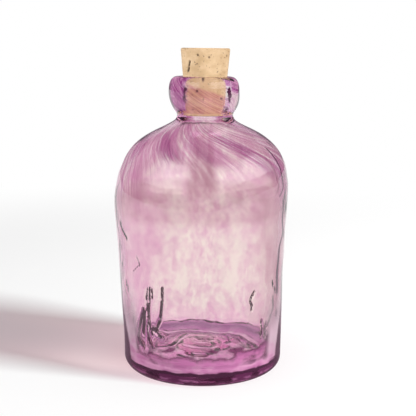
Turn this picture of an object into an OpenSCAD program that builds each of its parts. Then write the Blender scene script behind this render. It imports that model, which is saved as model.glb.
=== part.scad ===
// Small hand-blown glass bottle with a tapered natural cork.
// Millimetres, +Z up. The bottle stands on Z = 0 and its axis is the Z axis.

/* [Bottle] */
// Height of the glass from the table to the rim
glass_h = 144; // [138:0.5:152]
// Width at the widest part, just below the shoulder
body_w = 85; // [81:0.5:90]
// Width of the lower wall, just above the heel
foot_w = 81; // [78:0.5:83]
// Height of the widest part above the table
widest_z = 83.5; // [78:0.5:88]
// Thickness of the glass in the wall of the body
wall = 3; // [2.4:0.1:3.6]
// Radius of the rounded heel
heel_r = 5; // [4:0.25:7]
// Thickness of the glass in the floor, above the standing ring
floor_t = 6.5; // [5:0.25:8]
// Height of the push-up in the middle of the base
kick_h = 6.5; // [4:0.25:9]

/* [Neck] */
// Width in the crease where the neck leaves the shoulder
crease_w = 27.4; // [26.5:0.1:28.5]
// Width of the bulging collar
collar_w = 34.6; // [33:0.1:37]
// Height from the crease to the rim
collar_h = 18; // [16:0.25:20]

/* [Cork] */
// Width of the cork across its top
cork_w = 24; // [23:0.1:24.4]
// Length of the cork
cork_len = 32; // [30:0.25:33.5]
// How far the seated cork stands above the rim
cork_stand = 13.5; // [11:0.25:15]
// Narrowing of the cork's width over each millimetre of its length
cork_taper = 0.18; // [0.16:0.005:0.2]
// Chamfer round both ends of the cork
cork_edge = 0.6; // [0.4:0.1:1]
// Gap left between the cork and the glass when seated
cork_gap = 0.05; // [0.02:0.01:0.1]

/* [Hidden] */
$fn = 72;

body_r = body_w / 2;
foot_r = foot_w / 2;
collar_r = collar_w / 2;
crease_r = crease_w / 2;

// Heights counted down from the rim
crease_z = glass_h - collar_h;
bulge_z = glass_h - 0.44 * collar_h;
cork_base_z = glass_h + cork_stand - cork_len;
throat_z = cork_base_z - 1.5;

// Radius of the cork at a height
function cork_r(z) = cork_w / 2 - cork_taper / 2 * (glass_h + cork_stand - z);

// Radius of the tapered bore that holds the cork
function bore_r(z) = cork_r(z) + cork_gap;

// Cubic curve from a to d, drawn towards b at the start and c at the end.
// The last point is left out, because the next curve begins with it.
function curve(a, b, c, d, steps) = [
    for (i = [0 : steps - 1])
        let (t = i / steps, s = 1 - t)
            s * s * s * a + 3 * s * s * t * b + 3 * s * t * t * c + t * t * t * d
];

// Outside of the glass, from the middle of the base up to the rim
ring_r = foot_r - heel_r;
shoulder_h = crease_z - widest_z;
outside = concat(
    // Push-up, ending on the flat standing ring
    curve([0, kick_h], [0.42 * ring_r, kick_h], [0.72 * ring_r, 0.4], [ring_r - 4, 0], 8),
    [[ring_r - 4, 0]],
    // Heel
    [for (a = [-90 : 18 : -18]) [ring_r + heel_r * cos(a), heel_r + heel_r * sin(a)]],
    // Wall, swelling towards the shoulder
    curve([foot_r, heel_r], [foot_r + 0.2, 0.9 * widest_z],
        [body_r, 0.86 * widest_z], [body_r, widest_z], 9),
    // Shoulder, sweeping in to the crease
    curve([body_r, widest_z], [body_r, widest_z + 0.76 * shoulder_h],
        [crease_r + 10.8, crease_z - 9.7], [crease_r + 1.4, crease_z - 3.3], 12),
    curve([crease_r + 1.4, crease_z - 3.3], [crease_r + 0.5, crease_z - 2.5],
        [crease_r, crease_z - 1.6], [crease_r, crease_z - 0.4], 4),
    // Collar, bulging out and over to the rim
    curve([crease_r, crease_z - 0.4], [crease_r + 0.2, crease_z + 1],
        [collar_r, bulge_z - 6.5], [collar_r, bulge_z], 8),
    curve([collar_r, bulge_z], [collar_r, bulge_z + 5.2],
        [collar_r - 1.4, glass_h], [collar_r - 4.6, glass_h], 8)
);

// Inside of the glass, from the rim down to the middle of the floor
rim_round = 0.8;
inner_r = foot_r - wall;
inside = concat(
    [[collar_r - 4.6, glass_h]],
    curve([bore_r(glass_h) + rim_round, glass_h], [bore_r(glass_h) + 0.4 * rim_round, glass_h],
        [bore_r(glass_h), glass_h - 0.4 * rim_round],
        [bore_r(glass_h - rim_round), glass_h - rim_round], 3),
    // Tapered bore
    [[bore_r(glass_h - rim_round), glass_h - rim_round]],
    // Under side of the shoulder, opening out from the throat
    curve([bore_r(throat_z), throat_z], [bore_r(throat_z) + 8, throat_z - 9.3],
        [body_r - wall, widest_z + 0.71 * shoulder_h], [body_r - wall, widest_z], 12),
    // Wall
    curve([body_r - wall, widest_z], [body_r - wall, 0.86 * widest_z],
        [inner_r + 0.2, 0.9 * widest_z], [inner_r, floor_t + 1.3 * heel_r], 8),
    // Tight inner heel, then the floor over the push-up
    curve([inner_r, floor_t + 1.3 * heel_r], [inner_r, floor_t + 0.5 * heel_r],
        [inner_r - 0.5 * heel_r, floor_t], [inner_r - 1.2 * heel_r, floor_t], 7),
    curve([inner_r - 1.2 * heel_r, floor_t], [0.5 * foot_r, floor_t],
        [0.34 * foot_r, kick_h + 0.85 * floor_t], [0, kick_h + 0.85 * floor_t], 8),
    [[0, kick_h + 0.85 * floor_t]]
);

// Glass blown as one piece: body, shoulder, neck and collar
module bottle() {
    color("orchid")
        rotate_extrude()
            polygon(concat(outside, inside));
}

// Tapered cork with a chamfer round each end
module cork() {
    top_z = glass_h + cork_stand;
    color("burlywood")
        rotate_extrude()
            polygon([
                [0, cork_base_z],
                [cork_r(cork_base_z) - cork_edge, cork_base_z],
                [cork_r(cork_base_z + cork_edge), cork_base_z + cork_edge],
                [cork_r(top_z - cork_edge), top_z - cork_edge],
                [cork_r(top_z) - cork_edge, top_z],
                [0, top_z]
            ]);
}

bottle();
cork();
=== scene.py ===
import math

import bpy
from mathutils import Matrix, Vector, noise


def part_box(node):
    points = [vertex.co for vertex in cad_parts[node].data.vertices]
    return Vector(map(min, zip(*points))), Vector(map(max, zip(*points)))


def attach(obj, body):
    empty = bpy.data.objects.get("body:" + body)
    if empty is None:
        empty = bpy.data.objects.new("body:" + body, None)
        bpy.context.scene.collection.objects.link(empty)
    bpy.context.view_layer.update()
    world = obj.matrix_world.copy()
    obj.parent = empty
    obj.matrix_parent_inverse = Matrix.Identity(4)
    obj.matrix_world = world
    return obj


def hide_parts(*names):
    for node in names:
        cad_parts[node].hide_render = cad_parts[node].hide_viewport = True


bl_info = {
    "name": "Corked Glass Bottle",
    "version": (1, 0, 0),
    "blender": (4, 5, 0),
    "location": "View3D > Sidebar > Bottle",
    "description": "Blows a small streaked glass bottle, fits its cork and sets it on a pale table",
    "category": "Add Mesh",
}

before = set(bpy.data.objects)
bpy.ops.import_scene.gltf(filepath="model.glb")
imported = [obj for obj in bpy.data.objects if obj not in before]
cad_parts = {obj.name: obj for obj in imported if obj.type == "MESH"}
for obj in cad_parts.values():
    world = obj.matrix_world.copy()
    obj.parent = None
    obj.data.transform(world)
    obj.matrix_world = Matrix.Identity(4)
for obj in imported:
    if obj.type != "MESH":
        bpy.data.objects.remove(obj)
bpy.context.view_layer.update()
GLASS_LO, GLASS_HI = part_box("bottle")
CORK_LO, CORK_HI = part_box("cork")

MM = 0.001
GLASS_STEPS = 240
CORK_STEPS = 192

# Sideways wander of the hand-blown glass: height and shift to the right, in millimetres
WANDER = ((0, -0.4), (30, -0.45), (55, -0.9), (73, -1.35), (84, -1.3), (95, -0.65), (103, 0.0),
          (110, 0.2), (118, 0.65), (123, 0.3), (128, 0.0), (138, -0.47), (144, -0.5))

# Furrows that the tools left in the inner wall. Each has its width and depth in
# millimetres, then points of turn in degrees to the right of the front, and height.
WALL_FURROWS = (
    (0.60, 0.55, ((-39.9, 45.5), (-40.8, 41.4), (-39.8, 36.1), (-42.2, 34.3))),
    (0.55, 0.60, ((-37.7, 46.2), (-37.9, 41.3), (-38.7, 36.3), (-38.5, 31.4), (-37.4, 26.6), (-35.6, 23.9))),
    (0.50, 0.45, ((-36.0, 45.9), (-35.7, 41.6))),
    (1.00, 0.90, ((-44.2, 34.6), (-46.5, 29.2), (-48.8, 24.9), (-50.0, 20.6), (-47.8, 18.0), (-44.7, 17.0))),
    (0.85, 0.80, ((-40.2, 35.6), (-39.5, 30.3), (-40.6, 25.2), (-38.8, 20.5), (-36.1, 17.9))),
    (1.10, 0.90, ((-43.2, 33.7), (-43.4, 28.7), (-44.5, 23.6))),
    (0.70, 0.75, ((-27.2, 47.4), (-27.4, 42.5), (-28.3, 36.5), (-29.1, 31.6), (-31.7, 27.4), (-35.6, 25.9))),
    (1.20, 0.90, ((-34.2, 27.0), (-31.5, 25.2), (-27.5, 23.2))),
    (0.60, 0.55, ((-57.5, 23.3), (-53.7, 19.0), (-51.3, 15.3))),
    (0.60, 0.60, ((40.4, 44.6), (37.8, 42.5), (36.6, 40.6), (37.9, 38.5), (37.4, 36.6))),
    (0.60, 0.70, ((61.1, 38.2), (61.9, 33.5), (58.5, 30.1), (56.0, 27.0), (51.3, 25.3))),
    (0.55, 0.60, ((46.6, 29.5), (48.5, 25.7), (47.0, 22.9))),
    (0.55, 0.60, ((52.3, 27.6), (50.1, 24.9), (52.6, 22.0))),
    (0.55, 0.45, ((60.4, 46.9), (61.2, 45.7))),
    (0.55, 0.45, ((63.8, 43.3), (64.8, 42.1))),
    (0.50, 0.40, ((-68.0, 71.6), (-65.3, 70.0), (-60.6, 67.7))),
    (0.50, 0.38, ((-55.4, 51.4), (-51.0, 54.3), (-47.5, 56.2))),
    (0.60, 0.28, ((-50.4, 59.9), (-48.0, 57.1))),
    (0.50, 0.40, ((-66.7, 45.0), (-62.1, 41.6))),
)

# Folds in the floor over the push-up: width, depth, then points of X and Y
FLOOR_FOLDS = (
    (1.2, 0.9, ((-27, -1), (-21, -2.5), (-16, -4.5), (-13, -3.5), (-11, 3), (-8, 9))),
    (1.1, 0.6, ((-20, 26), (-12, 27.5), (-6, 30), (-1, 31))),
    (1.1, 0.5, ((8, 26), (13, 20), (15, 8), (15.5, 0), (13, -4))),
    (0.8, 0.8, ((-7, -16), (-3, -18.5), (2, -18.5), (5.5, -16.2))),
    (0.8, 0.5, ((-3, 0), (-1, -2.5), (2, -1.5), (4, -3), (6, 0), (6, 3))),
    (0.9, 0.4, ((24, 27), (27, 18), (30, 8), (33, 4))),
    (0.9, 0.35, ((-8, 2), (-7, 7), (-3, 10), (2, 10.5), (6, 8))),
)

# Parts of the inner wall that are meshed more finely for the furrows:
# turn from and to, height from and to, cuts
FINE_PARTS = ((-54, -24, 14, 48, 3), (34, 66, 20, 48, 3), (-72, -45, 39, 74, 1))

# Fixed measures of the glass, in millimetres. The rim is rounded from the collar's widest
# radius inwards, and the wall bends into the floor below WALL_FOOT_Z.
COLLAR_HIGH = 18
RIM_ROUND = 4.6
HEEL_ROUND = 5
PUSH_UP = 6.5
FLOOR_Z = 6.5
FLOOR_MIDDLE_Z = 12
WALL_FOOT_Z = 13

# Colours of single parts of the glass; a pair is mixed in patches
MAUVE = (0.71, 0.51, 0.57, 1.0)
DARK_VIOLET = (0.36, 0.08, 0.29, 1.0)
ROSE = (0.94, 0.64, 0.86, 1.0)
DARK_ROSE = (0.55, 0.17, 0.46, 1.0)
ORCHID = (0.80, 0.42, 0.64, 1.0)
WATER_CLEAR = (1.0, 0.99, 0.96, 1.0)
SMOKE = (0.70, 0.60, 0.56, 1.0)
# Painted highlight on the crease
CREASE_HIGHLIGHT = (1.0, 0.97, 0.99, 1.0)
FLOOR_PINK = (0.73, 0.28, 0.61, 1.0)
BACK_HEEL = (0.34, 0.14, 0.31, 1.0)
EDGE_TINT = (0.80, 0.62, 0.74, 1.0)
# Near-black of the dark lines and furrows, mostly painted shade
LINE_INK = (0.045, 0.010, 0.030, 1.0)
# Deep heel glass, and the painted highlights in it
HEEL_INKS = ((0.11, 0.018, 0.07, 1.0), (0.36, 0.11, 0.26, 1.0))
# Pale painted highlight inside the edge of the lower wall
PAINTED_EDGE_GLOW = (0.78, 0.58, 0.67, 1.0)
FLOOR_INKS = ((0.58, 0.20, 0.42, 1.0), (0.76, 0.35, 0.57, 1.0))
DEPTH_TINT = (0.93, 0.86, 0.87, 1.0)
SHADOW_TINT = (0.96, 0.92, 0.93, 1.0)
FOOT_SHADOW_TINT = (1.0, 0.955, 0.975, 1.0)

# Colours of the stage, as the glass mirrors it
# Painted pink shadow of the glass on the table by its foot
MIRRORED_FOOT_SHADOW = (1.0, 0.55, 0.80, 1.0)
DARK_ROOM = (1.0, 0.42, 0.80, 1.0)
WHITE = (1.0, 1.0, 1.0, 1.0)
BLACK = (0.0, 0.0, 0.0, 1.0)


class BottleSettings(bpy.types.PropertyGroup):
    """Sizes and colours of the blown glass"""

    height: bpy.props.FloatProperty(
        name="Height", description="Height of the glass from the table to the rim",
        default=GLASS_HI.z, unit="LENGTH")
    body_width: bpy.props.FloatProperty(
        name="Body width", description="Width at the widest part, below the shoulder",
        default=0.085, unit="LENGTH")
    foot_width: bpy.props.FloatProperty(
        name="Foot width", description="Width just above the heel",
        default=0.081, unit="LENGTH")
    widest: bpy.props.FloatProperty(
        name="Widest height", description="Height of the widest part above the table",
        default=0.0835, unit="LENGTH")
    wall: bpy.props.FloatProperty(
        name="Wall", description="Thickness of the glass in the body",
        default=0.003, unit="LENGTH")
    collar_width: bpy.props.FloatProperty(
        name="Collar width", description="Width of the bulging collar",
        default=0.0346, unit="LENGTH")
    crease_width: bpy.props.FloatProperty(
        name="Crease width", description="Width of the crease under the collar",
        default=0.0274, unit="LENGTH")
    pale: bpy.props.FloatVectorProperty(
        name="Pale glass", description="Colour of the nearly clear glass between the streaks",
        default=(0.955, 0.88, 0.85), subtype="COLOR", min=0, max=1)
    pink: bpy.props.FloatVectorProperty(
        name="Pink glass", description="Colour of the soft clouds in the body",
        default=(0.86, 0.62, 0.74), subtype="COLOR", min=0, max=1)
    violet: bpy.props.FloatVectorProperty(
        name="Violet streaks", description="Colour of the strong streaks at the neck",
        default=(0.52, 0.17, 0.39), subtype="COLOR", min=0, max=1)
    clear: bpy.props.FloatVectorProperty(
        name="Clear threads", description="Colour of the whitish threads and of the bore",
        default=(0.97, 0.95, 0.93), subtype="COLOR", min=0, max=1)
    deep: bpy.props.FloatVectorProperty(
        name="Deep glass", description="Colour of the thick heel",
        default=(0.12, 0.006, 0.065), subtype="COLOR", min=0, max=1)
    wine: bpy.props.FloatVectorProperty(
        name="Wine glass", description="Colour of the collar's dark side, which is solid glass",
        default=(0.20, 0.008, 0.145), subtype="COLOR", min=0, max=1)


class CorkSettings(bpy.types.PropertyGroup):
    """Sizes and colours of the cork"""

    top_width: bpy.props.FloatProperty(
        name="Top width", description="Width of the cork across its top",
        default=0.024, unit="LENGTH")
    foot_width: bpy.props.FloatProperty(
        name="Foot width", description="Width of the cork's lower end",
        default=0.01824, unit="LENGTH")
    tan: bpy.props.FloatVectorProperty(
        name="Cork", description="Main colour of the cork",
        default=(0.74, 0.53, 0.325), subtype="COLOR", min=0, max=1)
    bark: bpy.props.FloatVectorProperty(
        name="Darker cork", description="Colour of the darker clouds in the cork",
        default=(0.60, 0.40, 0.22), subtype="COLOR", min=0, max=1)
    # The near-black of the pores is partly painted shade
    pore: bpy.props.FloatVectorProperty(
        name="Pores", description="Colour in the pores",
        default=(0.025, 0.010, 0.005), subtype="COLOR", min=0, max=1)


class StageSettings(bpy.types.PropertyGroup):
    """Camera and light"""

    distance: bpy.props.FloatProperty(
        name="Camera distance", description="Level distance from the bottle's axis to the camera",
        default=0.430, unit="LENGTH")
    aside: bpy.props.FloatProperty(
        name="Camera aside", description="How far the camera stands to the right of the bottle's axis",
        default=0.0022, unit="LENGTH")
    eye_height: bpy.props.FloatProperty(
        name="Camera height", description="Height of the camera above the table",
        default=0.1575, unit="LENGTH")
    tilt: bpy.props.FloatProperty(
        name="Tilt", description="How far the camera looks down",
        default=math.radians(10.33), subtype="ANGLE")
    roll: bpy.props.FloatProperty(
        name="Roll", description="Turn of the camera about its own axis",
        default=math.radians(0.75), subtype="ANGLE")
    lens: bpy.props.FloatProperty(
        name="Lens", description="Focal length in millimetres",
        default=75.96)


# Helpers for meshes

def curve(a, b, c, d, steps):
    """Points of a cubic curve from a to d, without the last one."""
    points = []
    for i in range(steps):
        t = i / steps
        s = 1 - t
        weights = (s * s * s, 3 * s * s * t, 3 * s * t * t, t * t * t)
        points.append(tuple(sum(w * p[k] for w, p in zip(weights, (a, b, c, d))) for k in (0, 1)))
    return points


def deselect_all():
    if bpy.context.object and bpy.context.object.mode != "OBJECT":
        bpy.ops.object.mode_set(mode="OBJECT")
    bpy.ops.object.select_all(action="DESELECT")


def merge_to_vertex():
    """Turn the fresh primitive into the single vertex that an outline starts from."""
    bpy.ops.object.mode_set(mode="EDIT")
    bpy.ops.mesh.merge(type="CENTER")
    bpy.ops.object.mode_set(mode="OBJECT")


def spin_outline(name, outline, steps):
    """Extrude a single vertex along the outline, then spin it round the Z axis."""
    deselect_all()
    bpy.ops.mesh.primitive_plane_add(size=MM, location=(outline[0][0] * MM, 0, outline[0][1] * MM))
    obj = bpy.context.object
    obj.name = name
    bpy.ops.object.transform_apply(location=True)
    merge_to_vertex()
    bpy.ops.object.mode_set(mode="EDIT")
    bpy.ops.mesh.select_all(action="SELECT")
    for (r0, z0), (r1, z1) in zip(outline, outline[1:]):
        bpy.ops.mesh.extrude_region_move(
            TRANSFORM_OT_translate={"value": ((r1 - r0) * MM, 0, (z1 - z0) * MM)})
    bpy.ops.mesh.select_all(action="SELECT")
    bpy.ops.mesh.spin(steps=steps, angle=2 * math.pi, center=(0, 0, 0), axis=(0, 0, 1))
    bpy.ops.mesh.select_all(action="SELECT")
    bpy.ops.mesh.remove_doubles(threshold=0.00001)
    bpy.ops.mesh.normals_make_consistent(inside=False)
    bpy.ops.object.mode_set(mode="OBJECT")
    bpy.ops.object.shade_smooth()
    return obj


def outside_outline(s):
    """Outside of the glass in millimetres, from the middle of the base to the rim."""
    top = s.height / MM
    body = s.body_width / MM / 2
    foot = s.foot_width / MM / 2
    crease = s.crease_width / MM / 2
    collar = s.collar_width / MM / 2
    widest = s.widest / MM
    crease_z = top - COLLAR_HIGH
    bulge_z = top - 8
    rise = crease_z - widest
    ring = foot - HEEL_ROUND
    points = curve((0, PUSH_UP), (0.42 * ring, PUSH_UP), (0.72 * ring, 0.4), (ring - 4, 0), 28)
    points += [(ring - 4, 0), (ring - 2, 0)]
    points += [(ring + HEEL_ROUND * math.cos(a), HEEL_ROUND + HEEL_ROUND * math.sin(a))
               for a in (math.radians(d) for d in range(-90, 0, 9))]
    points += curve((foot, HEEL_ROUND), (foot + 0.2, 0.9 * widest), (body, 0.86 * widest), (body, widest), 44)
    points += curve((body, widest), (body, widest + 0.76 * rise),
                    (crease + 10.8, crease_z - 9.7), (crease + 1.4, crease_z - 3.3), 40)
    points += curve((crease + 1.4, crease_z - 3.3), (crease + 0.5, crease_z - 2.5),
                    (crease, crease_z - 1.6), (crease, crease_z - 0.4), 7)
    points += curve((crease, crease_z - 0.4), (crease + 0.2, crease_z + 1),
                    (collar, bulge_z - 6.5), (collar, bulge_z), 18)
    points += curve((collar, bulge_z), (collar, bulge_z + 5.2),
                    (collar - 1.4, top), (collar - RIM_ROUND, top), 18)
    return points


def inside_outline(s, bore_top, bore_foot, bore_z):
    """Inside of the glass in millimetres, from the rim to the middle of the floor."""
    top = s.height / MM
    body = s.body_width / MM / 2
    foot = s.foot_width / MM / 2
    wall = s.wall / MM
    widest = s.widest / MM
    rise = top - COLLAR_HIGH - widest
    points = [(s.collar_width / MM / 2 - RIM_ROUND, top)]
    points += curve((bore_top + 0.8, top), (bore_top + 0.3, top),
                    (bore_top, top - 0.3), (bore_top, top - 0.8), 5)
    points += [(bore_top + (bore_foot - bore_top) * t / 10, top - 0.8 + (bore_z - top + 1.8) * t / 10)
               for t in range(10)]
    points += curve((bore_foot, bore_z + 1), (bore_foot, bore_z),
                    (bore_foot + 0.4, bore_z - 0.5), (bore_foot + 1.2, bore_z - 1.35), 6)
    points += curve((bore_foot + 1.2, bore_z - 1.35), (bore_foot + 8.4, bore_z - 9.6),
                    (body - wall, widest + 0.71 * rise), (body - wall, widest), 36)
    points += curve((body - wall, widest), (body - wall, 0.86 * widest),
                    (foot + 0.2 - wall, 0.9 * widest), (foot - wall, WALL_FOOT_Z), 36)
    points += curve((foot - wall, WALL_FOOT_Z), (foot - wall, 9),
                    (foot - wall - 2.5, FLOOR_Z), (foot - wall - 6, FLOOR_Z), 14)
    points += curve((foot - wall - 6, FLOOR_Z), (0.5 * foot, FLOOR_Z),
                    (0.34 * foot, FLOOR_MIDDLE_Z), (0, FLOOR_MIDDLE_Z), 56)
    points += [(0, FLOOR_MIDDLE_Z)]
    return points


# Handwork: small moves of single vertices, which no operator gives

def smooth_step(low, high, value):
    t = min(1.0, max(0.0, (value - low) / (high - low)))
    return t * t * (3 - 2 * t)


def wander(z):
    """Sideways shift of the glass at a height, in millimetres."""
    for (z0, d0), (z1, d1) in zip(WANDER, WANDER[1:]):
        if z < z1:
            return d0 + (d1 - d0) * smooth_step(z0, z1, z)
    return WANDER[-1][1]


def distance_to_line(point, line):
    """Distance from a point to a chain of straight pieces, all in two dimensions."""
    nearest = 1e9
    for (ax, ay), (bx, by) in zip(line, line[1:]):
        dx, dy = bx - ax, by - ay
        t = ((point[0] - ax) * dx + (point[1] - ay) * dy) / (dx * dx + dy * dy)
        t = min(1.0, max(0.0, t))
        nearest = min(nearest, math.hypot(point[0] - ax - t * dx, point[1] - ay - t * dy))
    return nearest


def line_strength(point, lines):
    """Depth and painted shade that the furrows give at a point."""
    depth, dark = 0.0, 0.0
    for width, deep, line in lines:
        # Nothing is left of a furrow 4 mm away
        if any(not min(along) - 4 < value < max(along) + 4 for value, along in zip(point, zip(*line))):
            continue
        near = math.exp(-(distance_to_line(point, line) / width) ** 2)
        depth = max(depth, deep * near)
        # Shallow furrows get fainter painted shade
        dark = max(dark, near * min(1.0, deep / 0.6))
    return depth, dark


def outline_radius(outline, z, near):
    """Radius of an outline at a height, on the side nearest to a given radius."""
    found = None
    for (r0, z0), (r1, z1) in zip(outline, outline[1:]):
        if min(z0, z1) <= z <= max(z0, z1) and z0 != z1:
            r = r0 + (r1 - r0) * (z - z0) / (z1 - z0)
            if found is None or abs(r - near) < abs(found - near):
                found = r
    return found


def work_glass_by_hand(obj, inner_from):
    """Give the turned shape the wander, waves, furrows and folds of blown glass.

    inner_from is the outline of the inside, which tells the two skins apart.
    Two attributes go to the material: the painted shade of a furrow on top of its real groove, and which skin
    this is.
    """
    mesh = obj.data
    # Millimetres round the wall for one degree of turn
    arc = math.radians(1) * 37.5
    wall_lines = [(width, deep, [(turn * arc, height) for turn, height in line])
                  for width, deep, line in WALL_FURROWS]
    furrow = mesh.attributes.new("furrow", "FLOAT", "POINT")
    skin = mesh.attributes.new("outer_skin", "FLOAT", "POINT")
    for vertex in mesh.vertices:
        x, y, z = (c / MM for c in vertex.co)
        r = math.hypot(x, y)
        inside = is_inside(r, z, inner_from)
        ux, uy = (x / r, y / r) if r > 1e-6 else (0.0, 0.0)
        out, up, dark = 0.0, 0.0, 0.0
        loose = 1 - smooth_step(114, 123, z) if inside else 1.0
        big = noise.noise(Vector((x / 26, y / 26, z / 34 + (7 if inside else 0))))
        small = noise.noise(Vector((x / 10, y / 10, z / 17 + (3 if inside else 11))))
        if inside:
            out += (0.20 * big + (0.10 + 0.14 * (1 - smooth_step(35, 70, z))) * small) * loose
            # The wall is thinner near the foot
            out += 1.1 * smooth_step(7, 12, z) * (1 - smooth_step(30, 58, z)) * smooth_step(28, 35, r)
            turn = math.degrees(math.atan2(x, -y))
            if 12.5 < z < 80:
                deep, dark = line_strength((turn * arc, z), wall_lines)
                out -= deep
            elif z < 12.5 and r < 34:
                deep, dark = line_strength((x, y), FLOOR_FOLDS)
                deep, dark = 0.8 * deep, 0.65 * dark
                inner = smooth_step(1, 9, r) * (1 - smooth_step(28, 34, r))
                up += (0.28 * small + 0.1 * math.sin(r * 1.1 + 2 * big)) * inner - deep
        else:
            firm = smooth_step(0, 6, z) if r > 30 else 0.0
            out += 0.3 * smooth_step(45, 62, z) * (1 - smooth_step(108, 116, z))
            out += (0.14 * big + 0.08 * small) * firm * (1 - 0.5 * smooth_step(118, 126, z))
            if z < 8 and r < 28:
                up += 0.35 * max(0.0, small) * (1 - smooth_step(22, 28, r))
        # The foot is drawn in on the left
        out -= 1.65 * (1 - smooth_step(8, 44, z)) * max(0.0, -ux) ** 4 * smooth_step(15, 32, r)
        if r > 1e-6:
            x += ux * out + wander(z) * (loose if inside else 1.0)
            y += uy * out
        vertex.co = (x * MM, y * MM, (z + up) * MM)
        furrow.data[vertex.index].value = dark
        skin.data[vertex.index].value = 0.0 if inside else 1.0
    mesh.update()


def is_inside(r, z, inner):
    """True for a point on the inner outline, False on the outer one."""
    near = outline_radius(inner, z, r)
    return near is not None and abs(near - r) < 0.3


def mesh_finer(obj, part):
    """Cut the faces of one part of the inner wall into smaller ones."""
    left, right, low, high, cuts = part
    deselect_all()
    obj.select_set(True)
    bpy.context.view_layer.objects.active = obj
    bpy.ops.object.mode_set(mode="EDIT")
    bpy.ops.mesh.select_all(action="DESELECT")
    bpy.ops.object.mode_set(mode="OBJECT")
    for face in obj.data.polygons:
        x, y, z = (c / MM for c in face.center)
        turn = math.degrees(math.atan2(x, -y))
        inner = face.normal.x * x + face.normal.y * y < 0
        face.select = inner and left < turn < right and low < z < high and math.hypot(x, y) > 30
    bpy.ops.object.mode_set(mode="EDIT")
    bpy.ops.mesh.subdivide(number_cuts=cuts)
    bpy.ops.object.mode_set(mode="OBJECT")


# Helpers for materials

class Nodes:
    """Short way to add and link the nodes of one material or world."""

    def __init__(self, owner):
        owner.use_nodes = True
        self.tree = owner.node_tree
        self.tree.nodes.clear()

    def add(self, kind, inputs=None, **settings):
        node = self.tree.nodes.new(kind)
        for key, value in settings.items():
            setattr(node, key, value)
        for key, value in (inputs or {}).items():
            if isinstance(value, bpy.types.NodeSocket):
                self.tree.links.new(value, node.inputs[key])
            else:
                node.inputs[key].default_value = value
        return node

    def math(self, operation, a, b=0.0, c=None):
        values = {0: a, 1: b}
        if c is not None:
            values[2] = c
        return self.add("ShaderNodeMath", values, operation=operation).outputs[0]

    def mix(self, factor, a, b, blend="MIX"):
        node = self.add("ShaderNodeMix", {0: factor, 6: a, 7: b}, data_type="RGBA", blend_type=blend)
        return node.outputs[2]

    def ramp(self, value, low, high, to_low=0.0, to_high=1.0, kind="SMOOTHSTEP"):
        node = self.add("ShaderNodeMapRange", {"Value": value, "From Min": low, "From Max": high,
                                               "To Min": to_low, "To Max": to_high},
                        interpolation_type=kind)
        return node.outputs[0]

    def blend(self, share, a, b):
        """Mix of the shaders of two nodes."""
        return self.add("ShaderNodeMixShader", {0: share, 1: a.outputs[0], 2: b.outputs[0]})

    def noise(self, where, scale, detail):
        node = self.add("ShaderNodeTexNoise", {"Vector": where, "Scale": scale, "Detail": detail})
        return node.outputs["Fac"]

    def chain(self, operation, values):
        """One operation on all values in turn."""
        result = values[0]
        for value in values[1:]:
            result = self.math(operation, result, value)
        return result

    def total(self, *values):
        return self.chain("ADD", values)

    def product(self, *values):
        return self.chain("MULTIPLY", values)

    def most(self, *values):
        return self.chain("MAXIMUM", values)

    def span(self, value, start, full, full_end, end):
        """Rises from 0 to 1 between start and full, and falls back between full_end and end."""
        return self.product(self.ramp(value, start, full), self.ramp(value, end, full_end))

    def peak(self, value, centre, core, reach):
        """1 within core of the centre, falling to 0 at the distance reach."""
        away = self.math("ABSOLUTE", self.math("SUBTRACT", value, centre))
        return self.ramp(away, reach, core)

    def sector(self, turn, middle, half, soft):
        """1 within half a width of the middle turn in degrees, falling to 0 over soft degrees."""
        return self.peak(turn, math.radians(middle), math.radians(half), math.radians(half + soft))


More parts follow.
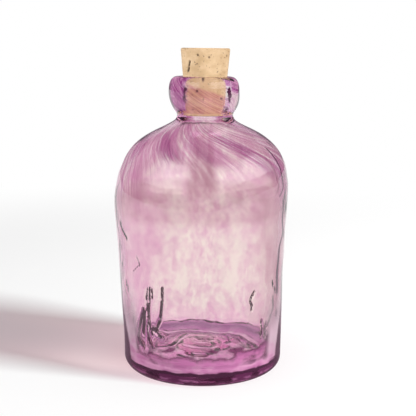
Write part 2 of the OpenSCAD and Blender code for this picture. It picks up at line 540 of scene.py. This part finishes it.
class GlassNodes(Nodes):
    """Nodes of the glass, with the places and patterns that its parts share.

    Turns run from the front of the bottle to its right. Heights and widths are in metres.
    """

    def __init__(self, material):
        super().__init__(material)
        self.place = self.add("ShaderNodeTexCoord").outputs["Object"]
        axes = self.add("ShaderNodeSeparateXYZ", {0: self.place})
        self.x, self.y, self.z = axes.outputs[0], axes.outputs[1], axes.outputs[2]
        flat = self.add("ShaderNodeCombineXYZ", {0: self.x, 1: self.y}).outputs[0]
        self.reach = self.add("ShaderNodeVectorMath", {0: flat}, operation="LENGTH").outputs["Value"]
        self.side = self.math("DIVIDE", self.x, self.most(self.reach, 0.001))
        self.off_middle = self.math("ABSOLUTE", self.side)
        self.plain_turn = self.math("ARCTAN2", self.x, self.product(self.y, -1.0))
        self.outer = self.add("ShaderNodeAttribute", attribute_name="outer_skin").outputs["Fac"]
        self.facing = self.add("ShaderNodeLayerWeight", {"Blend": 0.5}).outputs["Facing"]
        self.wind(self.add("ShaderNodeVectorMath", {0: flat}, operation="NORMALIZE").outputs[0])
        self.add_patterns()
        self.add_heel()

    def wind(self, round_about):
        """The streaks run down from the rim and wind to the right, most of all in front."""
        z = self.z
        swing = self.add("ShaderNodeVectorMath", {0: round_about, 1: (0.384, -0.814, 0.0)},
                         operation="DOT_PRODUCT").outputs["Value"]
        twist = self.total(self.ramp(z, 0.0984, 0.1358, 0.0, 0.79),
                           self.ramp(z, 0.114, 0.124, 0.0, 0.14, "LINEAR"),
                           self.ramp(z, 0.083, 0.100, 0.0, 0.12, "LINEAR"))
        in_collar = self.ramp(z, 0.126, 0.144, 0.0, 2.4, "LINEAR")
        twist = self.math("MULTIPLY_ADD", twist, self.total(swing, 1.0), in_collar)
        wound = self.add("ShaderNodeVectorRotate", {"Vector": round_about, "Angle": twist},
                         rotation_type="Z_AXIS").outputs[0]
        axes = self.add("ShaderNodeSeparateXYZ", {0: wound})
        self.wound_x, self.wound_y = axes.outputs[0], axes.outputs[1]
        self.turn = self.math("ARCTAN2", self.wound_x, self.product(self.wound_y, -1.0))

    def streaks(self, across, along, detail, seed):
        """Noise that follows the wound streaks, with its fineness across them and along the height."""
        where = self.add("ShaderNodeCombineXYZ", {
            0: self.product(self.wound_x, across),
            1: self.product(self.wound_y, across),
            2: self.math("MULTIPLY_ADD", self.z, along, seed)}).outputs[0]
        return self.add("ShaderNodeTexNoise", {"Vector": where, "Scale": 1.0, "Detail": detail,
                                               "Roughness": 0.6}).outputs["Fac"]

    def add_patterns(self):
        self.clouds = self.ramp(self.streaks(6.0, 78.0, 5.0, 0.0), 0.40, 0.60)
        self.coarse = self.streaks(7.0, 8.0, 2.0, 9.0)
        self.tufts = self.ramp(self.coarse, 0.42, 0.58)
        self.thin = self.streaks(16.0, 8.0, 3.0, 2.0)
        # The strands are broader near the neck
        self.strand_noise = self.mix(self.ramp(self.z, 0.106, 0.118), self.thin,
                                     self.streaks(9.5, 8.0, 2.0, 21.0))
        self.strands = self.ramp(self.strand_noise, 0.45, 0.54)
        self.rough = self.noise(self.place, 420.0, 2.0)
        flatter = self.add("ShaderNodeMapping", {"Vector": self.place, "Scale": (1.0, 1.0, 2.2)}).outputs[0]
        self.patches = self.noise(flatter, 95.0, 3.0)

    def add_heel(self):
        """The thick heel, whose upper edge is lower in front."""
        self.in_front = self.ramp(self.y, 0.0, -0.012)
        self.at_wall = self.ramp(self.reach, 0.0335, 0.0365)
        top = self.ramp(self.y, 0.0, -0.012, 0.0092, 0.0071)
        over_top = self.math("SUBTRACT", self.z, top)
        self.heel = self.product(self.ramp(over_top, 0.0006, -0.0004), self.at_wall)
        self.wavy_z = self.total(self.z, self.ramp(self.patches, 0.3, 0.7, -0.0008, 0.0008, "LINEAR"))


def rgba(colour):
    return (*colour, 1.0)


def body_colour(n, s):
    """Soft clouds, pinker on the left and towards the floor, palest in the lower middle."""
    z = n.z
    from_tongue = n.math("ABSOLUTE", n.total(n.side, 0.02))
    veils = n.ramp(n.streaks(2.6, 26.0, 2.0, 6.0), 0.36, 0.64)
    grain = n.ramp(n.streaks(15.0, 250.0, 4.0, 4.0), 0.36, 0.64, -0.26, 0.26)
    on_left = n.product(n.ramp(n.side, -0.45, -0.80), n.ramp(z, 0.090, 0.050, 0.12, 0.45))
    by_floor = n.ramp(z, 0.030, 0.012, 0.0, 0.45)
    on_shoulder = n.product(n.ramp(z, 0.084, 0.104), n.tufts, 0.28)
    pale_middle = n.product(n.ramp(n.off_middle, 0.75, 0.45), n.span(z, 0.016, 0.026, 0.050, 0.070), -0.28)
    pale_belt = n.product(n.span(z, 0.090, 0.096, 0.104, 0.110), n.ramp(n.y, 0.0, -0.020),
                          n.ramp(from_tongue, 0.10, 0.24, -0.5, 1.0), -0.34)
    amount = n.total(n.product(n.clouds, 0.62), n.product(veils, 0.30), on_left, by_floor,
                     pale_middle, grain, on_shoulder, pale_belt)
    amount = n.add("ShaderNodeClamp", {"Value": amount}).outputs[0]
    colour = n.mix(amount, rgba(s.pale), rgba(s.pink))
    # Duller mauve in a band below the shoulder, down the right side and in a tongue in front
    band = n.span(z, 0.075, 0.081, 0.088, 0.093)
    tongue = n.product(n.ramp(from_tongue, 0.22, 0.10), n.span(z, 0.086, 0.090, 0.104, 0.112))
    on_right = n.ramp(n.side, 0.62, 0.90)
    dull = n.product(n.most(band, tongue, on_right), n.ramp(n.clouds, 0.0, 1.0, 0.55, 0.90))
    return n.mix(dull, colour, MAUVE)


def shoulder_colour(n, s, colour):
    """Violet bands of fine strands, with whitish threads between them."""
    z, turn = n.z, n.turn
    left_band = n.product(n.sector(turn, -4, 7, 6), n.span(z, 0.1040, 0.1085, 0.1170, 0.1205))
    inner_band = n.product(n.sector(turn, 29, 3, 6), n.ramp(z, 0.1020, 0.1080), 0.65)
    front_band = n.product(n.sector(turn, 68, 5, 7), n.ramp(z, 0.094, 0.104),
                           n.ramp(z, 0.121, 0.114, 0.55, 1.0))
    far_left = n.product(n.sector(turn, -58, 8, 20), n.ramp(z, 0.076, 0.096),
                         n.ramp(n.thin, 0.42, 0.58, 0.15, 1.0), 0.8)
    right_band = n.product(n.sector(n.plain_turn, 68, 8, 9), n.span(z, 0.080, 0.092, 0.106, 0.113), 0.75)
    back_bands = n.product(n.most(n.sector(turn, 140, 10, 10), n.sector(turn, -128, 12, 12)),
                           n.ramp(z, 0.085, 0.104), 0.8)
    bands = n.product(n.most(left_band, inner_band, front_band, far_left, right_band, back_bands),
                      n.math("MULTIPLY_ADD", n.strands, 0.45, 0.55))
    loose_strands = n.product(n.strands, n.math("MULTIPLY_ADD", n.tufts, 0.45, 0.10), n.ramp(z, 0.092, 0.112),
                              n.ramp(z, 0.121, 0.116, 0.8, 1.0))
    # Weaker on the back, and nothing above the crease
    shown = n.product(n.ramp(z, 0.126, 0.122), n.ramp(n.y, 0.014, -0.010, 0.45, 1.0))
    colour = n.mix(n.product(n.most(bands, loose_strands), shown), colour, rgba(s.violet))
    deepest = n.product(n.most(left_band, n.product(n.most(front_band, inner_band), 0.7)),
                        n.ramp(n.strand_noise, 0.58, 0.44), 0.85)
    colour = n.mix(deepest, colour, DARK_VIOLET)
    threads = n.product(n.ramp(n.strand_noise, 0.49, 0.40), n.ramp(z, 0.094, 0.108), shown, 0.9)
    return n.mix(threads, colour, rgba(s.clear))


def collar_colour(n, s, colour):
    """Clear in front under the rim and low on the right, rose and violet round it.

    The colour lies on the outer skin, and the bore is clear.
    """
    z, turn = n.z, n.plain_turn
    stripes = n.ramp(n.total(n.product(n.coarse, 0.35), n.product(n.thin, 0.65)), 0.45, 0.55)
    wrap = n.mix(n.product(stripes, 0.90), ROSE, DARK_ROSE)
    slant = n.total(n.product(turn, 0.00516), z, n.ramp(n.thin, 0.3, 0.7, -0.0008, 0.0008, "LINEAR"))
    clear_front = n.product(n.ramp(slant, 0.1376, 0.1390), n.sector(turn, 4, 42, 8))
    wrap = n.mix(clear_front, wrap, WATER_CLEAR)
    steeper_slant = n.math("MULTIPLY_ADD", turn, 0.004, z)
    clear_right = n.product(n.sector(turn, 66, 16, 9), n.ramp(z, 0.127, 0.130),
                            n.ramp(steeper_slant, 0.1418, 0.1402))
    wrap = n.mix(clear_right, wrap, SMOKE)
    dark_side = n.mix(n.math("MULTIPLY_ADD", stripes, 0.80, 0.20), ORCHID, rgba(s.wine))
    upper_right = n.product(n.sector(turn, 70, 18, 8), n.ramp(steeper_slant, 0.1398, 0.1412))
    wrap = n.mix(n.most(n.sector(turn, -95, 60, 8), upper_right), wrap, dark_side)
    wrap = n.mix(n.outer, rgba(s.clear), wrap)
    colour = n.mix(n.ramp(z, 0.1245, 0.1270), colour, wrap)
    # The crease is violet at both sides, and has a painted highlight in front
    crease = n.product(n.span(z, 0.1215, 0.1240, 0.1262, 0.1285), n.ramp(n.off_middle, 0.4, 0.8, 0.15, 0.9))
    colour = n.mix(crease, colour, rgba(s.violet))
    painted_highlight = n.product(n.peak(z, 0.1256, 0.0006, 0.0016), n.ramp(n.off_middle, 0.75, 0.50), 0.85)
    return n.mix(painted_highlight, colour, CREASE_HIGHLIGHT)


def foot_colour(n, s, colour):
    """The floor is richer in colour than the wall, and the thick heel is deep outside."""
    floor = n.product(n.ramp(n.outer, 0.5, 0.4), n.ramp(n.z, 0.0135, 0.0105),
                      n.ramp(n.clouds, 0.0, 1.0, 0.70, 1.0))
    colour = n.mix(floor, colour, FLOOR_PINK)
    return n.mix(n.heel, colour, n.mix(n.in_front, BACK_HEEL, rgba(s.deep)))


def edge_on_colour(n, colour):
    """Seen edge-on, the light crosses more of the coloured skin."""
    edge_on = n.product(n.outer, n.ramp(n.facing, 0.50, 0.66), n.span(n.z, 0.018, 0.034, 0.112, 0.122))
    deeper = n.mix(1.0, n.mix(1.0, colour, colour, "MULTIPLY"), EDGE_TINT, "MULTIPLY")
    return n.mix(edge_on, colour, deeper)


def dark_lines(n):
    """Dark lines in the outer skin, from 0 to 1, most of them painted shade at the glass's edges."""
    z, facing = n.z, n.facing
    # Painted shade: near the edge of the wall, a dark line that comes and goes stands for the dark room seen
    # through the glass's edge
    centre = n.total(n.ramp(n.streaks(0.7, 34.0, 1.0, 13.0), 0.38, 0.62, 0.60, 0.84),
                     n.ramp(n.side, -0.2, 0.2, -0.02, 0.06))
    centre = n.math("MINIMUM", centre, 0.86)
    comes = n.ramp(n.streaks(0.7, 60.0, 1.0, 17.0), 0.38, 0.52, 0.10, 0.85)
    painted_edge_line = n.product(n.peak(facing, centre, 0.018, 0.045), comes,
                          n.span(z, 0.034, 0.044, 0.086, 0.100))
    # Near the foot the painted dark line lies at the very edge and widens downwards
    painted_foot_edge = n.product(n.ramp(n.math("SUBTRACT", facing, n.ramp(z, 0.006, 0.034, 0.62, 0.78)), 0.0, 0.07),
                          n.ramp(z, 0.060, 0.036), 0.95)
    # The tools left a bent line in the skin of the right shoulder
    bend_z = 0.094
    over = n.most(n.math("SUBTRACT", z, bend_z), 0.0)
    below = n.most(n.math("SUBTRACT", bend_z, z), 0.0)
    bent_turn = n.total(n.plain_turn, n.product(over, over, 419.0), n.product(below, below, 4712.0))
    shoulder_line = n.product(n.peak(bent_turn, math.radians(66), 0.008, 0.026),
                              n.span(z, 0.0884, 0.0896, 0.1105, 0.1130), 0.9)
    # Painted shade darkens the collar at its edge and in short strokes beside the cork
    painted_collar_edge = n.product(n.ramp(facing, 0.58, 0.80), n.span(z, 0.127, 0.130, 0.138, 0.142), 0.75)
    uneven = n.total(n.plain_turn, n.ramp(n.rough, 0.3, 0.7, -0.07, 0.07, "LINEAR"))
    painted_cork_gap = n.most(
        n.product(n.sector(uneven, -33, 0.5, 6), n.span(z, 0.1300, 0.1345, 0.1385, 0.1410), 0.65),
        n.product(n.sector(uneven, 43, 1.5, 6), n.span(z, 0.1305, 0.1335, 0.1385, 0.1405), 0.9),
        n.product(n.sector(uneven, 40, 1.5, 7), n.span(z, 0.1262, 0.1280, 0.1290, 0.1318), 0.6))
    # Painted shade darkens the heel along its top and foot, and the heel has a thin line at the back
    heel_top = n.span(n.wavy_z, 0.0052, 0.0062, 0.0071, 0.0079)
    painted_heel_lines = n.product(n.most(heel_top, n.ramp(n.wavy_z, 0.0018, 0.0008)), n.in_front, n.at_wall)
    back_line = n.product(n.peak(n.wavy_z, 0.0090, 0.0003, 0.0009), n.ramp(n.y, 0.004, 0.016),
                          n.ramp(n.rough, 0.40, 0.60, 0.35, 0.9))
    return n.most(painted_edge_line, painted_foot_edge, shoulder_line, painted_collar_edge, painted_cork_gap, painted_heel_lines, back_line)


def dense_glass(n):
    """Where the glass is nearly opaque, the colour it has there, and how fast that colour sets in."""
    z, patches = n.z, n.patches
    lines = dark_lines(n)
    thick_heel = n.product(n.heel, n.in_front, n.ramp(patches, 0.60, 0.45, 0.30, 0.85))
    # The heel's pale layers are painted highlights
    upper_layer = n.peak(n.wavy_z, 0.0037, 0.0003, 0.0009)
    lower_layer = n.peak(n.wavy_z, 0.0019, 0.0003, 0.0008)
    painted_heel_glints = n.product(n.most(upper_layer, lower_layer), n.ramp(patches, 0.36, 0.52))
    # Above the heel the glass is still thick, and shows the colour of the floor
    uneven_top = n.total(z, n.ramp(patches, 0.35, 0.65, -0.0030, 0.0030, "LINEAR"))
    floor_edge = n.product(n.ramp(z, 0.0066, 0.0074), n.ramp(uneven_top, 0.0200, 0.0105),
                           n.ramp(n.y, -0.008, -0.026), 0.85)
    # Inside the dark edge of the lower wall runs a pale strip, a painted highlight
    painted_glow_strip = n.product(n.outer, n.span(n.facing, 0.38, 0.54, 0.78, 0.84), n.ramp(z, 0.050, 0.018),
                      n.ramp(z, 0.0075, 0.0095), 0.8)
    # The furrows are real grooves, and their darkness is painted shade
    furrow = n.add("ShaderNodeAttribute", attribute_name="furrow").outputs["Fac"]
    furrow = n.product(furrow, n.ramp(n.rough, 0.35, 0.55, 0.60, 1.25))
    mark = n.mix(n.outer, n.ramp(furrow, 0.36, 0.72), n.most(lines, thick_heel, floor_edge, painted_glow_strip))

    heel_ink = n.mix(painted_heel_glints, *HEEL_INKS)
    floor_ink = n.mix(n.ramp(patches, 0.38, 0.60), *FLOOR_INKS)
    ink = n.mix(floor_edge, n.mix(painted_glow_strip, heel_ink, PAINTED_EDGE_GLOW), floor_ink)
    between_lines = n.product(n.most(thick_heel, floor_edge, painted_glow_strip), n.math("SUBTRACT", 1.0, lines))
    ink = n.mix(between_lines, LINE_INK, ink)
    return mark, ink, n.ramp(floor_edge, 0.0, 0.1, 1.5, 3.0)


def glass_shadow(n, colour):
    """What passes straight through the glass to the table.

    Light bent away by the round shoulder leaves a deeper shadow than the straight wall does.
    """
    bent = n.product(n.ramp(n.z, 0.045, 0.085, 0.0, 0.25), n.ramp(n.z, 0.126, 0.122),
                     n.ramp(n.y, 0.035, -0.020, 0.5, 1.0))
    dimmed = n.mix(bent, n.mix(1.0, colour, SHADOW_TINT, "MULTIPLY"), BLACK)
    dimmed = n.mix(n.ramp(n.z, 0.046, 0.012), dimmed, FOOT_SHADOW_TINT)
    dimmed = n.mix(n.ramp(n.z, 0.122, 0.126), dimmed, WHITE)
    return n.add("ShaderNodeBsdfTransparent", {0: dimmed})


def streaked_glass(s):
    material = bpy.data.materials.new("streaked glass")
    n = GlassNodes(material)
    colour = body_colour(n, s)
    colour = shoulder_colour(n, s, colour)
    colour = collar_colour(n, s, colour)
    colour = foot_colour(n, s, colour)
    colour = edge_on_colour(n, colour)
    mark, ink, speed = dense_glass(n)
    colour = n.mix(n.product(mark, speed), colour, ink)

    ripple = n.product(n.noise(n.place, 70.0, 2.0), n.ramp(n.z, 0.085, 0.030, 0.60, 1.0))
    bump = n.add("ShaderNodeBump", {"Height": ripple, "Strength": 0.15, "Distance": 0.002}).outputs[0]
    glass = n.add("ShaderNodeBsdfPrincipled", {
        "Base Color": colour, "Roughness": 0.0, "IOR": 1.5, "Normal": bump,
        "Transmission Weight": n.math("SUBTRACT", 1.0, n.product(mark, 0.92))})
    path = n.add("ShaderNodeLightPath")
    passing = n.most(path.outputs["Is Shadow Ray"], path.outputs["Is Diffuse Ray"])
    shadow = glass_shadow(n, colour)
    both = n.blend(passing, glass, shadow)
    depth = n.add("ShaderNodeVolumeAbsorption", {"Color": DEPTH_TINT, "Density": 60.0})
    n.add("ShaderNodeOutputMaterial", {0: both.outputs[0], 1: depth.outputs[0]})
    return material


def natural_cork(s):
    material = bpy.data.materials.new("natural cork")
    n = Nodes(material)
    place = n.add("ShaderNodeTexCoord").outputs["Object"]
    flatter = n.add("ShaderNodeMapping", {"Vector": place, "Scale": (1.0, 1.0, 1.6)}).outputs[0]
    cells = n.noise(flatter, 520.0, 4.0)
    tone = n.noise(flatter, 170.0, 3.0)
    flecks = n.noise(place, 900.0, 1.0)
    colour = n.mix(n.ramp(tone, 0.30, 0.72), rgba(s.tan), rgba(s.bark))
    colour = n.mix(n.ramp(cells, 0.35, 0.75, 0.0, 0.35), colour, rgba(s.bark))
    colour = n.mix(n.ramp(flecks, 0.66, 0.74, 0.0, 0.6), colour, rgba(s.pore))
    # Painted shade: the right side of the cork is darkened towards black
    across = n.add("ShaderNodeSeparateXYZ", {0: place}).outputs[0]
    colour = n.mix(n.ramp(across, -0.006, 0.010, 0.0, 0.32), colour, BLACK)
    # The pores are dark cork with painted shade deep in them
    pore = n.add("ShaderNodeAttribute", attribute_name="pore").outputs["Fac"]
    colour = n.mix(pore, colour, rgba(s.pore))
    bump = n.add("ShaderNodeBump", {"Height": cells, "Strength": 0.25, "Distance": 0.0003}).outputs[0]
    shader = n.add("ShaderNodeBsdfPrincipled", {"Base Color": colour, "Roughness": 0.85, "Normal": bump})
    n.add("ShaderNodeOutputMaterial", {0: shader.outputs[0]})
    return material


class BOTTLE_OT_blow_glass(bpy.types.Operator):
    """Blow the bottle: one closed wall of glass from base to rim"""

    bl_idname = "bottle.blow_glass"
    bl_label = "Blow the glass"
    bl_options = {"REGISTER", "UNDO"}

    def execute(self, context):
        s = context.scene.bottle
        c = context.scene.cork
        top_r = c.top_width / MM / 2
        slope = (c.top_width - c.foot_width) / MM / 2 / ((CORK_HI.z - CORK_LO.z) / MM)

        def bore(z):
            return top_r - slope * (CORK_HI.z / MM - z) + 0.05

        top = s.height / MM
        bore_z = CORK_LO.z / MM - 1.5
        inner = inside_outline(s, bore(top), bore(bore_z), bore_z)
        obj = spin_outline("Bottle_glass", outside_outline(s) + inner, GLASS_STEPS)
        for part in FINE_PARTS:
            mesh_finer(obj, part)
        work_glass_by_hand(obj, inner)
        obj.data.materials.append(streaked_glass(s))
        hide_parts("bottle")
        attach(obj, "bottle")
        return {"FINISHED"}


# Pores of the cork: turn in degrees to the right of the front, height in millimetres,
# length, width, lean in degrees and depth
PORES = (
    (-42.3, 150.2, 3.2, 0.55, -20, 1.0), (-47.0, 147.4, 3.0, 0.72, -26, 1.0),
    (-18, 154.2, 1.2, 0.5, 60, 0.5), (9, 153.2, 1.0, 0.5, 0, 0.45),
    (62, 153.9, 1.0, 0.5, 15, 0.5), (-6, 141.6, 1.8, 0.7, 10, 0.5), (46, 141.0, 1.1, 0.5, 0, 0.5),
    (-19, 137.2, 1.1, 0.55, 0, 0.5), (42, 134.0, 1.0, 0.6, 0, 0.5),
)


def cork_pores():
    """The pores in front, then others spread over the rest of the side in a fixed order."""
    pores = list(PORES)
    for i in range(26):
        turn = 78 + (i * 137.5) % 204
        height = 128 + (i * 7.31) % 27
        pores.append((turn, height, 0.6 + (i * 0.37) % 1.5, 0.3 + (i * 0.11) % 0.2, (i * 47) % 90 - 45, 0.4))
    return pores


class BOTTLE_OT_cut_cork(bpy.types.Operator):
    """Cut the tapered cork and open its pores"""

    bl_idname = "bottle.cut_cork"
    bl_label = "Cut the cork"
    bl_options = {"REGISTER", "UNDO"}

    def execute(self, context):
        s = context.scene.cork
        low, high = CORK_LO.z / MM, CORK_HI.z / MM
        top, foot = s.top_width / MM / 2, s.foot_width / MM / 2
        slope = (top - foot) / (high - low)
        edge = 0.6
        rings = 84
        side = []
        for i in range(rings + 1):
            z = low + edge + (high - low - 2 * edge) * i / rings
            side.append((top - slope * (high - z), z))
        caps_low = [(r, low) for r in (0, 3, 6, foot - edge)]
        caps_high = [(r, high) for r in (top - edge, 9, 7, 5, 3, 0)]
        obj = spin_outline("Cork_stopper", caps_low + side + caps_high, CORK_STEPS)
        self.open_pores(obj, top, slope, high)
        obj.data.materials.append(natural_cork(s))
        bpy.ops.object.shade_smooth_by_angle(angle=math.radians(35))
        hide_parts("cork")
        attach(obj, "cork")
        return {"FINISHED"}

    def open_pores(self, obj, top, slope, high):
        """Press the pores into the side; nothing ever moves outwards, so the cork stays clear of the bore."""
        pores = cork_pores()
        mark = obj.data.attributes.new("pore", "FLOAT", "POINT")
        for vertex in obj.data.vertices:
            x, y, z = (c / MM for c in vertex.co)
            r = math.hypot(x, y)
            dark, pressed = 0.0, 0.0
            if r > top - slope * (high - z) - 0.2:
                turn = math.degrees(math.atan2(x, -y)) % 360
                pressed = 0.06 * max(0.0, noise.noise(Vector((x / 1.6, y / 1.6, z / 1.6))))
                for pore_turn, height, length, width, lean, depth in pores:
                    away = (turn - pore_turn + 180) % 360 - 180
                    across = math.radians(away) * r
                    rise = z - height
                    if abs(rise) > length + 1 or abs(across) > length + 1:
                        continue
                    lean_cos, lean_sin = math.cos(math.radians(lean)), math.sin(math.radians(lean))
                    along = rise * lean_cos - across * lean_sin
                    aside = rise * lean_sin + across * lean_cos
                    beyond = max(0.0, abs(along) - length / 2 + width)
                    near = math.exp(-((beyond ** 2 + aside ** 2) / (width * 0.75) ** 2))
                    dark = max(dark, near)
                    pressed = max(pressed, depth * near)
            if r > 1e-6 and pressed > 0:
                vertex.co.x -= x / r * pressed * MM
                vertex.co.y -= y / r * pressed * MM
            mark.data[vertex.index].value = min(1.0, 1.4 * dark)
        obj.data.update()


class BOTTLE_OT_set_stage(bpy.types.Operator):
    """Set the pale table, the lamps and the camera"""

    bl_idname = "bottle.set_stage"
    bl_label = "Set the stage"
    bl_options = {"REGISTER", "UNDO"}

    def execute(self, context):
        scene = context.scene
        s = scene.stage
        scene.view_settings.view_transform = "Standard"
        deselect_all()
        bpy.ops.mesh.primitive_plane_add(size=12, location=(0, 0, 0))
        table = context.object
        table.name = "Table"
        table.data.materials.append(self.table_finish())

        self.softbox("Key", (1.96, -0.79, 1.35), 0.62, 0.62, 80)
        self.surroundings(scene)

        camera = bpy.data.objects.new("Camera", bpy.data.cameras.new("Camera"))
        scene.collection.objects.link(camera)
        camera.data.lens = s.lens
        camera.data.sensor_width = 36
        camera.data.clip_start = 0.01
        turn = Matrix.Rotation(math.pi / 2 - s.tilt, 4, "X") @ Matrix.Rotation(s.roll, 4, "Z")
        camera.matrix_world = Matrix.Translation((s.aside, -s.distance, s.eye_height)) @ turn
        scene.camera = camera
        return {"FINISHED"}

    def softbox(self, name, place, wide, high, power):
        data = bpy.data.lights.new(name, "AREA")
        data.shape = "RECTANGLE"
        data.size = wide
        data.size_y = high
        data.energy = power
        lamp = bpy.data.objects.new(name, data)
        bpy.context.scene.collection.objects.link(lamp)
        lamp.location = place
        lamp.visible_camera = False
        lamp.visible_glossy = False
        lamp.visible_transmission = False
        aim = Vector((0, 0, 0.06)) - Vector(place)
        lamp.rotation_euler = aim.to_track_quat("-Z", "Y").to_euler()

    def table_finish(self):
        material = bpy.data.materials.new("white table")
        n = Nodes(material)
        place = n.add("ShaderNodeTexCoord").outputs["Object"]
        axes = n.add("ShaderNodeSeparateXYZ", {0: place})
        far = n.add("ShaderNodeVectorMath", {0: place}, operation="LENGTH").outputs["Value"]
        path = n.add("ShaderNodeLightPath")
        through_glass = path.outputs["Is Transmission Ray"]
        matt = n.add("ShaderNodeBsdfDiffuse", {"Color": (0.93, 0.93, 0.93, 1)})
        # A little light of its own keeps the open table white round the shadow
        glow = n.add("ShaderNodeEmission", {"Color": WHITE, "Strength": 0.05})
        matt = n.add("ShaderNodeAddShader", {0: matt.outputs[0], 1: glow.outputs[0]})
        lit = n.add("ShaderNodeEmission", {"Color": WHITE, "Strength": 1.0})
        # Glass mirrors a dim, pink table by its foot, a painted shadow of the coloured glass, and the table
        # ends in the dark room in front
        by_foot = n.most(n.ramp(far, 0.06, 0.15, 0.3, 1.0), through_glass)
        table_end = n.product(n.ramp(axes.outputs[1], -0.60, -0.54, 0.12, 1.0), by_foot)
        # Looked through from behind, the table in front is bright as well
        open_front = n.product(through_glass, n.ramp(n.math("ABSOLUTE", axes.outputs[0]), 0.6, 0.4))
        mirrored = n.add("ShaderNodeEmission", {"Color": n.mix(by_foot, MIRRORED_FOOT_SHADOW, WHITE),
                                                "Strength": n.most(table_end, open_front)})
        seen = n.most(path.outputs["Is Camera Ray"], through_glass)
        share = n.product(n.ramp(far, 0.26, 0.60), seen)
        all_three = n.blend(path.outputs["Is Glossy Ray"], n.blend(share, matt, lit), mirrored)
        n.add("ShaderNodeOutputMaterial", {0: all_three.outputs[0]})
        return material

    def surroundings(self, scene):
        """A white room to the camera, windows and a dim end to the glass, soft light to all else."""
        world = bpy.data.worlds.new("studio")
        scene.world = world
        n = Nodes(world)
        way = n.add("ShaderNodeSeparateXYZ", {0: n.add("ShaderNodeTexCoord").outputs["Generated"]})
        x, y, z = way.outputs[0], way.outputs[1], way.outputs[2]
        turn = n.math("ARCTAN2", x, n.product(y, -1.0))
        off_front = n.math("ABSOLUTE", turn)
        path = n.add("ShaderNodeLightPath")
        through_glass = path.outputs["Is Transmission Ray"]

        def window(left, right, low, high, strength):
            """Soft-edged patch of the room between two turns from the front and two heights, in degrees."""
            left, right, low, high, soft = (math.radians(angle) for angle in (left, right, low, high, 12))
            sides = n.span(turn, left - soft, left + soft, right - soft, right + soft)
            low, high = math.sin(low), math.sin(high)
            return n.product(sides, n.span(z, low - 0.03, low + 0.03, high - 0.06, high + 0.06), strength)

        windows = n.total(window(22, 108, 12, 46, 2.5), window(-82, -20, 12, 46, 2.3))
        # The far end is bright, and dimmer in bare mirror reflections than through the glass
        from_side = n.ramp(through_glass, 0.0, 1.0, math.radians(98), math.radians(84), "LINEAR")
        far_end = n.product(n.ramp(off_front, from_side, n.total(from_side, math.radians(24))),
                            n.ramp(z, 0.8, 0.6), n.math("MULTIPLY_ADD", through_glass, 0.60, 0.30))
        # Looked through from behind, the glass shows a bright room in front as well
        open_front = n.product(n.ramp(off_front, math.radians(50), math.radians(25)), n.ramp(z, 0.45, 0.30),
                               through_glass, 0.9)
        level = n.total(n.most(far_end, open_front), 0.1, windows)
        tint = n.mix(n.ramp(level, 0.1, 0.7), DARK_ROOM, WHITE)
        room = n.add("ShaderNodeBackground", {"Color": tint, "Strength": level})
        # Soft light: even, with more from straight above and from low on the left
        soft = n.total(n.ramp(z, 0.70, 0.90, 0.0, 0.30), window(-105, -8, -10, 12, 6.0), 0.20)
        light = n.add("ShaderNodeBackground", {"Color": WHITE, "Strength": soft})
        white = n.add("ShaderNodeBackground", {"Color": WHITE, "Strength": 1.0})
        by_glass = n.most(path.outputs["Is Glossy Ray"], through_glass)
        all_three = n.blend(path.outputs["Is Camera Ray"], n.blend(by_glass, light, room), white)
        n.add("ShaderNodeOutputWorld", {0: all_three.outputs[0]})


class BOTTLE_PT_panel(bpy.types.Panel):
    """Lists the steps that make the bottle"""

    bl_label = "Corked glass bottle"
    bl_idname = "BOTTLE_PT_panel"
    bl_space_type = "VIEW_3D"
    bl_region_type = "UI"
    bl_category = "Bottle"

    def draw(self, context):
        layout = self.layout
        for step in STEPS:
            layout.operator("bottle." + step)
        for group in (context.scene.bottle, context.scene.cork, context.scene.stage):
            for name in group.__annotations__:
                layout.prop(group, name)


STEPS = ("blow_glass", "cut_cork", "set_stage")
CLASSES = (BottleSettings, CorkSettings, StageSettings, BOTTLE_OT_blow_glass,
           BOTTLE_OT_cut_cork, BOTTLE_OT_set_stage, BOTTLE_PT_panel)


def register():
    for cls in CLASSES:
        bpy.utils.register_class(cls)
    bpy.types.Scene.bottle = bpy.props.PointerProperty(type=BottleSettings)
    bpy.types.Scene.cork = bpy.props.PointerProperty(type=CorkSettings)
    bpy.types.Scene.stage = bpy.props.PointerProperty(type=StageSettings)


def unregister():
    del bpy.types.Scene.stage
    del bpy.types.Scene.cork
    del bpy.types.Scene.bottle
    for cls in reversed(CLASSES):
        bpy.utils.unregister_class(cls)


def main():
    register()
    for step in STEPS:
        getattr(bpy.ops.bottle, step)()


if __name__ == "__main__":
    main()
